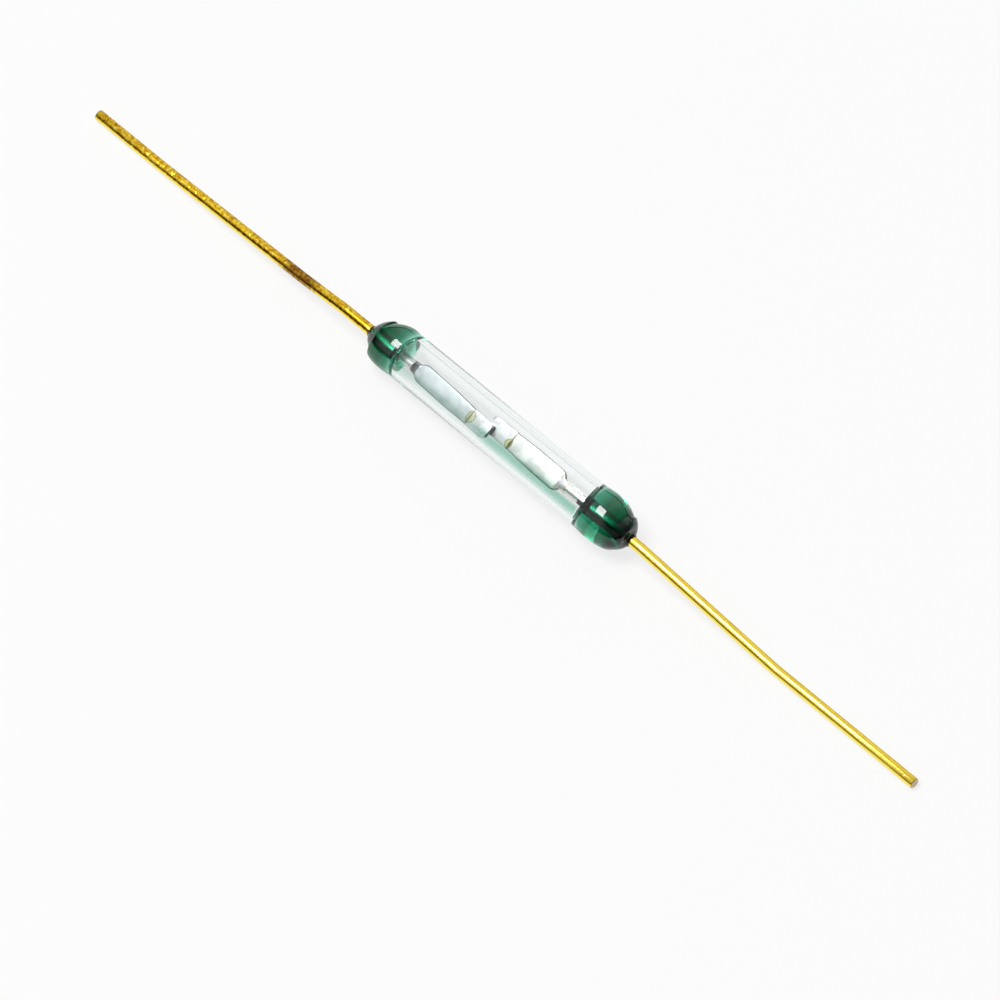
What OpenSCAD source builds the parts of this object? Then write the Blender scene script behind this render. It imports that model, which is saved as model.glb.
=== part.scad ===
// Reed switch: two nickel-iron reeds, flat inside and round gold plated wire outside, in a glass tube.
// X runs along the tube, Z is up. The origin is on the tube's axis at the middle of the glass.
// The switch lies on a table: the lowest glass and the two dropped lead ends touch it.

/* [Glass] */
// Outside diameter of the drawn tube
tube_d = 2.0; // [1.96:0.01:2.04]
// Thickness of the tube's wall
tube_wall = 0.225; // [0.2:0.005:0.235]
// Length of the glass over both sealed ends
glass_len = 14.1; // [14.0:0.05:14.4]
// Greatest diameter of the left seal, where the melted glass swelled a little
left_seal_d = 2.06; // [2.05:0.01:2.12]
// Greatest diameter of the right seal
right_seal_d = 2.12; // [2.06:0.01:2.16]
// Length of the left rounded nose, up to the full diameter of its seal
left_nose_len = 1.3; // [1.2:0.05:1.4]
// Length of the right rounded nose, which is a little more pointed
right_nose_len = 1.45; // [1.3:0.05:1.5]
// Distance from the middle of the tube to the inner end of the left seal
left_seal_in = 5.2; // [5.1:0.05:5.3]
// Distance from the middle of the tube to the inner end of the right seal
right_seal_in = 4.8; // [4.7:0.05:4.9]
// Radius of the rounded corner where the bore of the tube ends in a seal
seal_corner_r = 0.28; // [0.15:0.01:0.35]

/* [Leads] */
// Diameter of the wire
wire_d = 0.45; // [0.42:0.01:0.5]
// Length of each lead outside the glass
lead_len = 15.1; // [14.5:0.1:16]
// How far the lead ends hang below the axis of the tube
lead_drop = 0.83; // [0.8:0.01:0.83]
// Radius of the bends that were put into the leads by hand
bend_r = 4; // [3:0.5:5]
// How far the left wire sits towards the front of the tube, in its seal
left_wire_off = 0.12; // [0.05:0.005:0.15]

/* [Reeds] */
// Width of the left flattened blade
left_blade_w = 0.8; // [0.76:0.01:0.86]
// Width of the right flattened blade
right_blade_w = 0.9; // [0.8:0.01:0.94]
// Share of its width that a blade keeps along its plated tip
tip_share = 0.88; // [0.85:0.01:1]
// Thickness of the flattened blades
blade_t = 0.18; // [0.16:0.01:0.2]
// Turn of the blades' flat faces about the tube's axis, from face up
blade_turn = 30; // [25:1:35]
// Place along X of the left blade's tip
left_tip_x = -0.42; // [-0.46:0.01:-0.38]
// Place along X of the right blade's tip
right_tip_x = -0.745; // [-0.8:0.005:-0.7]
// Gap between the two contacts at rest
contact_gap = 0.07; // [0.065:0.001:0.08]
// How far the left blade's tip lies to the front of the tube's axis, across its flat face
left_tip_side = 0.245; // [0.2:0.005:0.25]
// How far the right blade's tip lies to the back of the tube's axis, across its flat face
right_tip_side = 0.073; // [0.04:0.001:0.1]
// Length of the pressed step from round wire to the left blade
left_step = 0.25; // [0.2:0.05:0.4]
// Length of the pressed step from round wire to the right blade
right_step = 0.5; // [0.4:0.05:0.6]

/* [Contacts] */
// Thickness of the contact plating
plating_t = 0.015; // [0.012:0.001:0.016]
// Length of the plating on the left blade
left_plating_len = 1.05; // [0.9:0.05:1.2]
// Length of the plating on the right blade
right_plating_len = 1.2; // [1.0:0.05:1.3]

/* [Hidden] */
$fn = 64;
tube_r = tube_d / 2;
bore_r = tube_r - tube_wall;
wire_r = wire_d / 2;
glass_end = glass_len / 2;
lead_end = glass_end + lead_len;

// Noses and collars: the dome stops at collar_r, and a cone of glass closes on the wire
collar_r = 0.45;
left_collar_len = 0.2;
right_collar_len = 0.32;
cone_back = 0.45;
cone_slope = 0.65;
collar_lip = 0.035;
swell_len = 0.9;
creep_len = 0.14;
creep_r = 0.16;
arc_steps = 16;

// Directions square to the blades' flat faces and across them, and how far each tip stands off the axis.
// At the middle of the overlap a blade has risen by rise_share of that.
facing = [0, -sin(blade_turn), cos(blade_turn)];
across = [0, cos(blade_turn), sin(blade_turn)];
rise_share = 0.9625;
tip_stand = (blade_t + 2 * plating_t + contact_gap) / 2 / rise_share;
// Where each reed turns from round wire to flat blade, and where its tip is, as [x, y, z]
left_root = [-4.72, -left_wire_off, 0];
right_root = [3.56, -0.03, 0];
left_tip = [left_tip_x, 0, 0] + tip_stand * facing - left_tip_side * across;
right_tip = [right_tip_x, 0, 0] - tip_stand * facing + right_tip_side * across;

// Corners of each lead's path, as [distance from the middle of the tube, drop below its axis]
left_corners = [[-left_root[0], 0], [8.5, 0], [10.7, 0.4 * lead_drop], [18.7, lead_drop],
                [lead_end, lead_drop]];
right_corners = [[right_root[0], 0], [7.5, 0], [14.75, lead_drop], [lead_end, lead_drop]];
// Lean of the plane in which each lead drops, from upright
left_lean = 11;
right_lean = 2;
end_chamfer = 0.03;
// A bend is a hair thicker than the wire, and the straight runs seat this far into it
bend_swell = 0.003;
bend_seat = 0.02;

// The blade's rounded corners and taper, and how far along its pressed step the shoulders begin
tip_corner_r = 0.19;
taper_len = 1.2;
shoulder_r = 0.35;
shoulder_at = 0.6;
// How far a pressed step would flare on its own, as a share of the blade's width
step_flare = 0.62;
// The faint ridge left on the right blade by the press, from this far along its step
ridge_at = 0.8;
ridge_len = 1.5;
ridge_r = 0.17;
ridge_rise = 0.035;

// Points of an arc in the profile plane, as [radius, place along the tube]
function arc(c, r, a0, a1) =
    [for (i = [0:arc_steps]) let (a = a0 + (a1 - a0) * i / arc_steps) c + r * [sin(a), cos(a)]];

// A swell from radius r0 to r1 between x0 and x1, along half a cosine wave
function swell(x0, x1, r0, r1) =
    [for (i = [1:arc_steps - 1]) let (s = i / arc_steps)
        [r0 + (r1 - r0) * (1 - cos(180 * s)) / 2, x0 + (x1 - x0) * s]];

// Profile of a nose on the +X side, from the full diameter out to the flat ring at its tip
function nose(seal_r, nose_len, collar_len) =
    let (h = nose_len - collar_len,
         d = seal_r - collar_r,
         r = (h * h + d * d) / (2 * d),
         c = [seal_r - r, glass_end - nose_len])
    arc(c, r, 90, asin((collar_r - c[0]) / r));

function mirrored(points) = [for (i = [len(points) - 1:-1:0]) [points[i][0], -points[i][1]]];

// Round bar along X from x0 to x1, in line with the wire at point p
module bar(p, x0, x1, r0, r1) {
    translate([min(x0, x1), p[1], p[2]]) rotate([0, 90, 0])
        cylinder(r1 = x0 < x1 ? r0 : r1, r2 = x0 < x1 ? r1 : r0, h = abs(x1 - x0));
}

// Slope of each leg of a path, how far its bends turn, and what a bend takes off the legs beside it
function slopes(path) =
    [for (i = [1:len(path) - 1]) atan2(path[i][1] - path[i - 1][1], path[i][0] - path[i - 1][0])];
function turns(path) = let (a = slopes(path)) [for (i = [1:len(a) - 1]) a[i] - a[i - 1]];
function trims(path) = concat([0], [for (t = turns(path)) bend_r * tan(abs(t) / 2)], [0]);
function runs(path) = let (cut = trims(path))
    [for (i = [1:len(path) - 1]) norm(path[i] - path[i - 1]) - cut[i - 1] - cut[i]];

// Bend of the wire from upwards towards +X, and what follows it
module bend(turn) {
    rotate([0, 0, turn < 0 ? 180 : 0]) {
        translate([bend_r, 0, 0]) rotate([-90, 0, 0]) rotate([0, 0, 180])
            rotate_extrude(angle = abs(turn)) translate([bend_r, 0]) circle(r = wire_r + bend_swell);
        translate([bend_r, 0, 0]) rotate([0, abs(turn), 0]) translate([-bend_r, 0, 0])
            rotate([0, 0, turn < 0 ? 180 : 0]) children();
    }
}

// Straight runs and bends in turn, as the wire comes off a bending tool, with a cut end
module bent_wire(run, turn, i = 0) {
    seat = i == 0 ? 0 : bend_seat;
    if (i < len(turn)) {
        translate([0, 0, -seat]) cylinder(r = wire_r, h = run[i] + seat + bend_seat);
        translate([0, 0, run[i]]) bend(turn[i]) bent_wire(run, turn, i + 1);
    } else {
        translate([0, 0, -seat]) cylinder(r = wire_r, h = run[i] + seat - end_chamfer);
        translate([0, 0, run[i] - end_chamfer])
            cylinder(r1 = wire_r, r2 = wire_r - end_chamfer, h = end_chamfer);
    }
}

// A lead from its root outwards along X, dropping towards -Z
module lead(path) {
    rotate([0, 90, 0]) bent_wire(runs(path), turns(path));
}

module glass_envelope() color("mediumseagreen", 0.6) {
    left_r = left_seal_d / 2;
    right_r = right_seal_d / 2;
    left_x = glass_end - left_nose_len;
    right_x = glass_end - right_nose_len;
    lip_r = wire_r + collar_lip;
    outer = concat([[0, left_collar_len - glass_end]],
        mirrored(nose(left_r, left_nose_len, left_collar_len)),
        swell(-left_x, -left_x + swell_len, left_r, tube_r), [[tube_r, -left_x + swell_len]],
        [[tube_r, right_x - swell_len]], swell(right_x - swell_len, right_x, tube_r, right_r),
        nose(right_r, right_nose_len, right_collar_len), [[0, glass_end - right_collar_len]]);
    hollow = concat([[0, -left_seal_in]],
        arc([bore_r - seal_corner_r, seal_corner_r - left_seal_in], seal_corner_r, 180, 90),
        arc([bore_r - seal_corner_r, right_seal_in - seal_corner_r], seal_corner_r, 90, 0),
        [[0, right_seal_in]]);
    difference() {
        union() {
            difference() {
                rotate([0, 90, 0]) rotate_extrude() polygon(outer);
                rotate([0, 90, 0]) rotate_extrude() polygon(hollow);
            }
            bar(left_root, -glass_end + cone_back, -glass_end, lip_r + cone_back * cone_slope, lip_r);
            bar(right_root, glass_end - cone_back, glass_end, lip_r + cone_back * cone_slope, lip_r);
            bar(left_root, -left_seal_in - 0.1, -left_seal_in + creep_len, wire_r + creep_r, lip_r);
            bar(right_root, right_seal_in + 0.1, right_seal_in - creep_len, wire_r + creep_r, lip_r);
        }
        bar(left_root, -glass_end - 1, -left_seal_in + 1, wire_r, wire_r);
        bar(right_root, right_seal_in - 1, glass_end + 1, wire_r, wire_r);
    }
}

module left_lead() color("goldenrod")
    translate(left_root) rotate([left_lean, 0, 0]) rotate([0, 0, 180]) lead(left_corners);

module right_lead() color("goldenrod")
    translate(right_root) rotate([right_lean, 0, 0]) lead(right_corners);

// Places a reed lengthways on its line, turned so that its flat faces the other reed
module reed_frame(root, tip) {
    way = tip - root;
    translate(root) rotate([0, -atan2(way[2], norm([way[0], way[1]])), atan2(way[1], way[0])])
        rotate([way[0] > 0 ? blade_turn : -blade_turn, 0, 0]) children();
}

// Strip from x0 to x1 with corners of radius r at x1
module round_ended(x0, x1, w, r) {
    translate([x0, -w / 2]) square([x1 - x0 - r, w]);
    translate([x0, r - w / 2]) square([x1 - x0, w - 2 * r]);
    for (side = [-1, 1]) translate([x1 - r, side * (w / 2 - r)]) circle(r = r);
}

// Outline of a blade seen on its flat face: rounded shoulders, and a taper to its rounded, plated tip
module blade_outline(blade_w, step, blade_len, cover) {
    from = step * shoulder_at;
    border = blade_len - cover;
    tip_w = blade_w * tip_share;
    intersection() {
        union() {
            round_ended(border - taper_len / 2, blade_len, tip_w, tip_corner_r);
            polygon([[0, -blade_w / 2], [border - taper_len, -blade_w / 2], [border, -tip_w / 2],
                     [border, tip_w / 2], [border - taper_len, blade_w / 2], [0, blade_w / 2]]);
        }
        union() {
            translate([0, -wire_r]) square([blade_len, wire_d]);
            translate([from + shoulder_r, -blade_w]) square([blade_len, blade_w * 2]);
            for (side = [-1, 1])
                translate([from + shoulder_r, side * (blade_w / 2 - shoulder_r)]) circle(r = shoulder_r);
            translate([from, shoulder_r - blade_w / 2]) square([blade_len, blade_w - 2 * shoulder_r]);
        }
    }
}

// The pressed step: round wire at x = 0 that flares out as its two faces close to the blade
module pressed_step(blade_w, step, blade_len, cover) {
    flare_r = blade_w * step_flare;
    intersection() {
        rotate([0, 90, 0]) cylinder(r1 = wire_r, r2 = flare_r, h = step);
        rotate([90, 0, 0]) linear_extrude(blade_w * 2, center = true)
            polygon([[0, -wire_r], [step, -blade_t / 2], [step, blade_t / 2], [0, wire_r]]);
        translate([0, 0, -wire_r]) linear_extrude(wire_d)
            blade_outline(blade_w, step, blade_len, cover);
    }
}

module reed_blade(blade_w, step, blade_len, cover) {
    pressed_step(blade_w, step, blade_len, cover);
    translate([0, 0, -blade_t / 2]) linear_extrude(blade_t) intersection() {
        blade_outline(blade_w, step, blade_len, cover);
        translate([step * shoulder_at, -blade_w]) square([blade_len, blade_w * 2]);
    }
}

// Thin sleeve of contact metal round the last stretch of a blade
module plating(blade_w, blade_len, cover) {
    tip_w = blade_w * tip_share;
    outer_w = tip_w + 2 * plating_t;
    outer_t = blade_t + 2 * plating_t;
    difference() {
        translate([0, 0, -outer_t / 2]) linear_extrude(outer_t)
            round_ended(blade_len - cover, blade_len + plating_t, outer_w, tip_corner_r + plating_t);
        translate([0, 0, -blade_t / 2]) linear_extrude(blade_t)
            round_ended(blade_len - cover - 1, blade_len, tip_w, tip_corner_r);
    }
}

module left_reed_blade() color("silver")
    reed_frame(left_root, left_tip)
        reed_blade(left_blade_w, left_step, norm(left_tip - left_root), left_plating_len);

module right_reed_blade() color("silver") reed_frame(right_root, right_tip) {
    reed_blade(right_blade_w, right_step, norm(right_tip - right_root), right_plating_len);
    intersection() {
        translate([right_step * ridge_at, 0, blade_t / 2 + ridge_rise - ridge_r]) rotate([0, 90, 0])
            cylinder(r1 = ridge_r, r2 = ridge_r - ridge_rise, h = ridge_len);
        translate([0, -wire_r, 0]) cube([ridge_len * 2, wire_d, wire_r]);
    }
}

module left_contact_plating() color("whitesmoke") reed_frame(left_root, left_tip)
    plating(left_blade_w, norm(left_tip - left_root), left_plating_len);

module right_contact_plating() color("whitesmoke") reed_frame(right_root, right_tip)
    plating(right_blade_w, norm(right_tip - right_root), right_plating_len);

glass_envelope();
left_lead();
right_lead();
left_reed_blade();
right_reed_blade();
left_contact_plating();
right_contact_plating();
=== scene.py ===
import math

import bmesh
import bpy
from mathutils import Matrix, Vector


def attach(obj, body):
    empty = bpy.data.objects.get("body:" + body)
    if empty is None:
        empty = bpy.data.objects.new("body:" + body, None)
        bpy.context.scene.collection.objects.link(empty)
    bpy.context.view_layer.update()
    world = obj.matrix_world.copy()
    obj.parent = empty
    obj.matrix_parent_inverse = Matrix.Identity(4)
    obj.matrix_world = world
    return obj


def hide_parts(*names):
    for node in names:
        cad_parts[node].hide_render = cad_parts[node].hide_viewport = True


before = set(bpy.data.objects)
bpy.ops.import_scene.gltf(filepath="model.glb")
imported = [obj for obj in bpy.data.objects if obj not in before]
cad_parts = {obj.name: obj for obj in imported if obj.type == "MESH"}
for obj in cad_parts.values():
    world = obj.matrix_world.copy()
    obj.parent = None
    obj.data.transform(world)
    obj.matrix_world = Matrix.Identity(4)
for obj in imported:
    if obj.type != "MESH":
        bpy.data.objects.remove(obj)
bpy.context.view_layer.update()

# Bare reed switch on a white table. Meshes are made in millimetres and scaled once to metres.
scene = bpy.context.scene
mm = 0.001
perMetre = 1000.0  # millimetres in a metre, because shaders get places in metres
tableZ = -1.06  # the glass rests at this height
tiny = 1e-6
mergeDistance = 0.0004  # points nearer to each other than this become one
white = (1.0, 1.0, 1.0, 1.0)
# Two directions square to the tube, as shares of y and z: upwards in the photo, and towards its camera
acrossWay = (0.9035, 0.4287)
frontWay = (-0.4287, 0.9035)
print("frame loaded")


def reach(y, z, way):  # how far a place lies along one of these directions
    return y * way[0] + z * way[1]


# Small helpers for nodes
def addNode(tree, kind, **settings):
    node = tree.nodes.new(kind)
    for name, value in settings.items():
        setattr(node, name, value)
    return node


def feed(tree, value, socket):  # a plain number or colour goes on the socket itself
    if isinstance(value, bpy.types.NodeSocket):
        tree.links.new(value, socket)
    else:
        socket.default_value = value


def calc(tree, operation, a, b=0.0, c=0.0, clamp=False):
    node = addNode(tree, "ShaderNodeMath", operation=operation, use_clamp=clamp)
    for value, socket in zip((a, b, c), node.inputs):
        feed(tree, value, socket)
    return node.outputs[0]


def times(tree, a, b):
    return calc(tree, "MULTIPLY", a, b)


def ease(tree, value, low, high, toLow=0.0, toHigh=1.0):  # smooth step of a value
    node = addNode(tree, "ShaderNodeMapRange", interpolation_type="SMOOTHSTEP")
    for v, socket in zip((value, low, high, toLow, toHigh), node.inputs):
        feed(tree, v, socket)
    return node.outputs[0]


def easeFrom(tree, value, start, ramp, toLow=0.0, toHigh=1.0):  # the ramp is measured from a start
    return ease(tree, value, start + ramp[0], start + ramp[1], toLow, toHigh)


def band(tree, value, rise, fall):  # 1 between two ramps and 0 outside them
    return times(tree, ease(tree, value, *rise), ease(tree, value, *fall, 1.0, 0.0))


def blendColour(tree, share, a, b):
    node = addNode(tree, "ShaderNodeMix", data_type="RGBA", clamp_factor=True)
    feed(tree, share, node.inputs[0])
    feed(tree, a, node.inputs[6])
    feed(tree, b, node.inputs[7])
    return node.outputs[2]


def splitUp(tree, vector):  # the three numbers of a vector
    node = addNode(tree, "ShaderNodeSeparateXYZ")
    feed(tree, vector, node.inputs[0])
    return node.outputs


def measure(tree, parts, way):  # a place's reach in millimetres, for shaders
    return calc(tree, "MULTIPLY_ADD", parts[2], perMetre * way[1], times(tree, parts[1], perMetre * way[0]))


def readAttribute(tree, name, output):
    return addNode(tree, "ShaderNodeAttribute", attribute_name=name).outputs[output]


def addNoise(tree, where, scale, detail=2.0):
    noise = addNode(tree, "ShaderNodeTexNoise")
    feed(tree, where, noise.inputs["Vector"])
    feed(tree, scale, noise.inputs["Scale"])
    noise.inputs["Detail"].default_value = detail
    return noise.outputs[0]


def addBump(tree, shader, height, strength, depth):  # the depth is in millimetres
    bump = addNode(tree, "ShaderNodeBump")
    bump.inputs["Strength"].default_value = strength
    bump.inputs["Distance"].default_value = depth * mm
    feed(tree, height, bump.inputs["Height"])
    feed(tree, bump.outputs[0], shader.inputs["Normal"])


def newGroup(name, inputs, outputs):
    tree = bpy.data.node_groups.new(name, "ShaderNodeTree")
    for label, kind, value in inputs:
        socket = tree.interface.new_socket(name=label, in_out="INPUT", socket_type=kind)
        if value is not None:
            socket.default_value = value
    for label, kind in outputs:
        tree.interface.new_socket(name=label, in_out="OUTPUT", socket_type=kind)
    return tree, addNode(tree, "NodeGroupInput"), addNode(tree, "NodeGroupOutput")


def useGroup(tree, group, values):
    node = addNode(tree, "ShaderNodeGroup", node_tree=group)
    for label, value in values.items():
        feed(tree, value, node.inputs[label])
    return node.outputs


def newMaterial(name):
    material = bpy.data.materials.new(name)
    material.use_nodes = True
    tree = material.node_tree
    return material, tree, tree.nodes["Principled BSDF"]


def objectPlace(tree):
    return addNode(tree, "ShaderNodeTexCoord").outputs["Object"]


def darkened(colour, share):
    return tuple(share * c for c in colour[:3]) + (1.0,)


def finishMetal(tree, shader, colour, roughness, height, bump):
    feed(tree, colour, shader.inputs["Base Color"])
    feed(tree, roughness, shader.inputs["Roughness"])
    shader.inputs["Metallic"].default_value = 1.0
    addBump(tree, shader, height, *bump)


# Drawn marks run along one axis, with pits and soft stains over them
marksLook = {
    "lineDetail": 3.0,
    "stainDetail": 4.0,
    "pitted": (0.45, 0.7),  # ramps of noise, from no pits to deep ones and from clean to stained
    "stained": (0.42, 0.66),
    "lineHeight": 0.25,  # beside pits with a depth of 1
}


def makeSurfaceMarks():
    floatIn, vectorIn = "NodeSocketFloat", "NodeSocketVector"
    tree, into, out = newGroup("surfaceMarks", [
        ("Place", vectorIn, None), ("Line Scale", floatIn, 20.0), ("Stretch", floatIn, 0.04),
        ("Pit Scale", floatIn, 4.0), ("Pit Share", floatIn, 0.3), ("Stain Scale", floatIn, 1.0),
    ], [("Lines", floatIn), ("Stains", floatIn), ("Height", floatIn)])
    given = into.outputs
    scaled = addNode(tree, "ShaderNodeVectorMath", operation="SCALE")  # metres to millimetres
    feed(tree, given["Place"], scaled.inputs[0])
    scaled.inputs["Scale"].default_value = perMetre
    place = scaled.outputs[0]
    x, y, z = splitUp(tree, place)
    drawn = addNode(tree, "ShaderNodeCombineXYZ")
    for value, socket in zip((times(tree, x, given["Stretch"]), y, z), drawn.inputs):
        feed(tree, value, socket)
    lines = addNoise(tree, drawn.outputs[0], given["Line Scale"], marksLook["lineDetail"])
    pits = addNode(tree, "ShaderNodeTexVoronoi")
    feed(tree, place, pits.inputs["Vector"])
    feed(tree, given["Pit Scale"], pits.inputs["Scale"])
    bowl = ease(tree, pits.outputs["Distance"], 0.0, given["Pit Share"], 1.0, 0.0)
    bowl = times(tree, bowl, ease(tree, addNoise(tree, place, given["Pit Scale"]), *marksLook["pitted"]))
    stains = addNoise(tree, place, given["Stain Scale"], marksLook["stainDetail"])
    feed(tree, lines, out.inputs["Lines"])
    feed(tree, ease(tree, stains, *marksLook["stained"]), out.inputs["Stains"])
    height = calc(tree, "SUBTRACT", times(tree, lines, marksLook["lineHeight"]), bowl)
    feed(tree, height, out.inputs["Height"])
    return tree


surfaceMarks = makeSurfaceMarks()

# Glass: green iron glass, nearly clear in the thin wall and deep green in the thick seals.
# Places are millimetres from the middle. A ramp is from and to, then its values there if not 0 and 1.
glassLook = {
    "ior": 1.52,
    "tint": (0.30, 0.70, 0.60, 1.0),
    "density": 200.0,  # light lost in each metre of glass
    "shine": 0.5,
    "clear": white,
    "mint": (0.30, 0.80, 0.63, 1.0),
    "deep": (0.002, 0.126, 0.052, 1.0),
    "dark": (0.001, 0.016, 0.008, 1.0),
    "rim": (0.0, 0.004, 0.002, 1.0),
    "shadowStreak": (0.44, 0.74, 0.62, 1.0),  # painted green shade low along the front of the drawn tube, for the blades' shadow seen through the glass
    "marks": {"Line Scale": 1.4, "Stretch": 0.12, "Pit Scale": 1.6, "Pit Share": 0.12, "Stain Scale": 0.8},
    "roughnessRamp": (0.0, 1.0, 0.0, 0.02),  # stained glass is a little rougher
    "leftFace": 5.2,  # where the melted ends begin
    "rightFace": 4.85,
    "rightHaste": 2.2,  # the right end turns deep green this much faster
    "undersideRamp": (0.25, 0.85, 0.0, 0.2),  # the left end turns green later on its underside
    "wander": 0.3,  # how far the green's border wanders
    "mintRamp": (-0.06, 0.06),  # past the border
    "deepRamp": (0.0, 0.6),
    "rightDarkRamp": (6.25, 6.5),  # the noses are darkest round their wires
    "leftDarkRamp": (6.75, 6.95, 0.0, 0.5),
    "streakRise": (0.15, 0.42),  # angles round the tube, in radians
    "streakFall": (0.62, 0.85),
    "streakAlong": (-1.2, 0.2, 0.3, 1.0),
    "streakEnd": (-0.3, -0.1, 1.0, 0.0),
    "waves": (0.05, 0.1),  # strength and depth
}


def makeGlassMaterial():
    look = glassLook
    material, tree, shader = newMaterial("greenGlass")
    shader.inputs["Transmission Weight"].default_value = 1.0
    shader.inputs["Metallic"].default_value = 0.0
    shader.inputs["IOR"].default_value = look["ior"]
    shader.inputs["Specular IOR Level"].default_value = look["shine"]
    where = objectPlace(tree)
    drawn = useGroup(tree, surfaceMarks, {"Place": where, **look["marks"]})
    feed(tree, ease(tree, drawn["Stains"], *look["roughnessRamp"]), shader.inputs["Roughness"])
    # The melted ends are thick, so their green is deep, and paler towards the drawn tube
    parts = splitUp(tree, where)
    x = times(tree, parts[0], perMetre)
    leftwards = times(tree, x, -1.0)
    under = times(tree, measure(tree, parts, frontWay), -1.0)
    left = calc(tree, "SUBTRACT", leftwards, look["leftFace"])
    left = calc(tree, "SUBTRACT", left, ease(tree, under, *look["undersideRamp"]))
    right = times(tree, calc(tree, "SUBTRACT", x, look["rightFace"]), look["rightHaste"])
    wander = calc(tree, "MULTIPLY_ADD", drawn["Lines"], look["wander"], -look["wander"] / 2)
    past = calc(tree, "ADD", calc(tree, "MAXIMUM", right, left), wander)
    colour = blendColour(tree, ease(tree, past, *look["mintRamp"]), look["clear"], look["mint"])
    colour = blendColour(tree, ease(tree, past, *look["deepRamp"]), colour, look["deep"])
    nearWire = calc(tree, "MAXIMUM", ease(tree, x, *look["rightDarkRamp"]),
                    ease(tree, leftwards, *look["leftDarkRamp"]))
    colour = blendColour(tree, nearWire, colour, look["dark"])
    colour = blendColour(tree, readAttribute(tree, "innerRim", "Fac"), colour, look["rim"])
    # Painted shade: a green streak low on the front of the drawn tube stands for the blades' shadow seen
    # through it
    angle = calc(tree, "ARCTAN2", parts[2], times(tree, parts[1], -1.0))
    shadowStreak = band(tree, angle, look["streakRise"], look["streakFall"])
    shadowStreak = times(tree, shadowStreak, ease(tree, x, *look["streakAlong"]))
    shadowStreak = times(tree, shadowStreak, ease(tree, past, *look["streakEnd"]))
    colour = blendColour(tree, shadowStreak, colour, look["shadowStreak"])
    feed(tree, colour, shader.inputs["Base Color"])
    addBump(tree, shader, drawn["Lines"], *look["waves"])
    volume = addNode(tree, "ShaderNodeVolumeAbsorption")
    volume.inputs["Color"].default_value = look["tint"]
    volume.inputs["Density"].default_value = look["density"]
    feed(tree, volume.outputs[0], tree.nodes["Material Output"].inputs["Volume"])
    return material


# Wire: gold plating outside, dark oxide with a painted highlight where the glass grips it, bare nickel-iron
# in the tube.
# Ramps round the wire go from -1 at its lower flank in the photo to 1 at its upper one.
wireLook = {
    "goldDeep": (0.42, 0.19, 0.005, 1.0),
    "goldPale": (1.0, 0.86, 0.15, 1.0),
    "darkReflection": (0.06, 0.012, 0.0005, 1.0),  # painted dark reflection along one flank of each wire, in dark brown
    "brownPatch": (0.20, 0.075, 0.012, 1.0),
    # painted highlight and painted shade on the wire where the glass grips it
    "gripped": white,
    "grippedDark": (0.10, 0.15, 0.13, 1.0),
    "oxide": (0.004, 0.003, 0.002, 1.0),
    "brownRing": (0.10, 0.05, 0.012, 1.0),
    "bareMetal": (0.72, 0.71, 0.69, 1.0),
    "cutEnd": (0.52, 0.40, 0.24, 1.0),
    "wireEnd": 22.15,
    "marks": {"Line Scale": 26.0, "Stretch": 0.03, "Pit Scale": 3.2, "Stain Scale": 0.9},
    "grainScale": 7000.0,
    "grainDetail": 3.0,
    "grainDeep": (0.5, 0.6),  # ramps of the grain, to deep gold and to pale gold
    "grainPale": (0.36, 0.46, 1.0, 0.0),
    "roughnessRamp": (0.2, 0.8, 0.12, 0.24),
    "wettedRoughness": 0.15,  # added where the glass wets the wire
    # painted reflection of the white table on the lower flank, in pale gold
    "paleTableReflection": (-0.75, -0.6, 0.9, 0.0),
    "darkReflectionRise": (-0.62, -0.5),
    "darkReflectionFront": (0.0, 0.2),  # only on the side that faces the photo's camera
    "darkReflectionRun": (11.0, 21.0),
    "darkReflectionGrain": (0.35, 0.6, 0.75, 1.0),
    "patchRamp": (0.4, 1.4, 1.0, 0.0),  # millimetres from the middle of the brown patch
    "patchHoles": (0.4, 0.62, 1.0, 0.0),
    "patchHoleShare": 0.3,
    "cutRamp": (-0.035, -0.01),  # from the wire's end
    "brownRamp": (0.02, 0.1),  # from the glass's end
    "gripRamp": (-0.12, -0.04),
    "gripHighlight": (-0.07, 0.01),  # the painted highlight's ramp across the wire, in millimetres from its middle
    "gripFade": (0.08, 0.15, 1.0, 0.35),
    "wettedRamp": (-0.1, 0.0),  # from the inner face of the seal, like the next three
    "oxideRise": (-0.05, 0.0),
    "oxideFall": (0.13, 0.2),
    "insideRamp": (-0.1, -0.04),
    "creepRamp": (0.0, 0.05),  # from where the oxide starts to creep along both flanks of the bare wire
    "creepLow": (-0.07, -0.03, 1.0, 0.0),
    "creepHigh": (0.16, 0.2),
    "grooveDepth": 0.03,
    # For each side, aside is the y of the wire's middle, and patchAt is where the brown patch lies
    "left": {"name": "pittedGoldWire", "gold": (0.82, 0.53, 0.030, 1.0), "pitShare": 0.6, "pitDepth": 0.8,
             "innerFace": 5.40, "creepFrom": 5.25, "glassEnd": 6.93, "aside": -0.12,
             "darkReflectionFall": (-0.32, 0.02), "darkReflectionShare": (0.95, 0.6), "patchAt": 10.9},
    "right": {"name": "smoothGoldWire", "gold": (0.88, 0.655, 0.085, 1.0), "pitShare": 0.12, "pitDepth": 0.25,
              "innerFace": 4.85, "creepFrom": 4.32, "glassEnd": 7.03, "aside": -0.03,
              "darkReflectionFall": (-0.42, -0.28), "darkReflectionShare": (0.7, 0.2), "patchAt": None},
}


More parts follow.
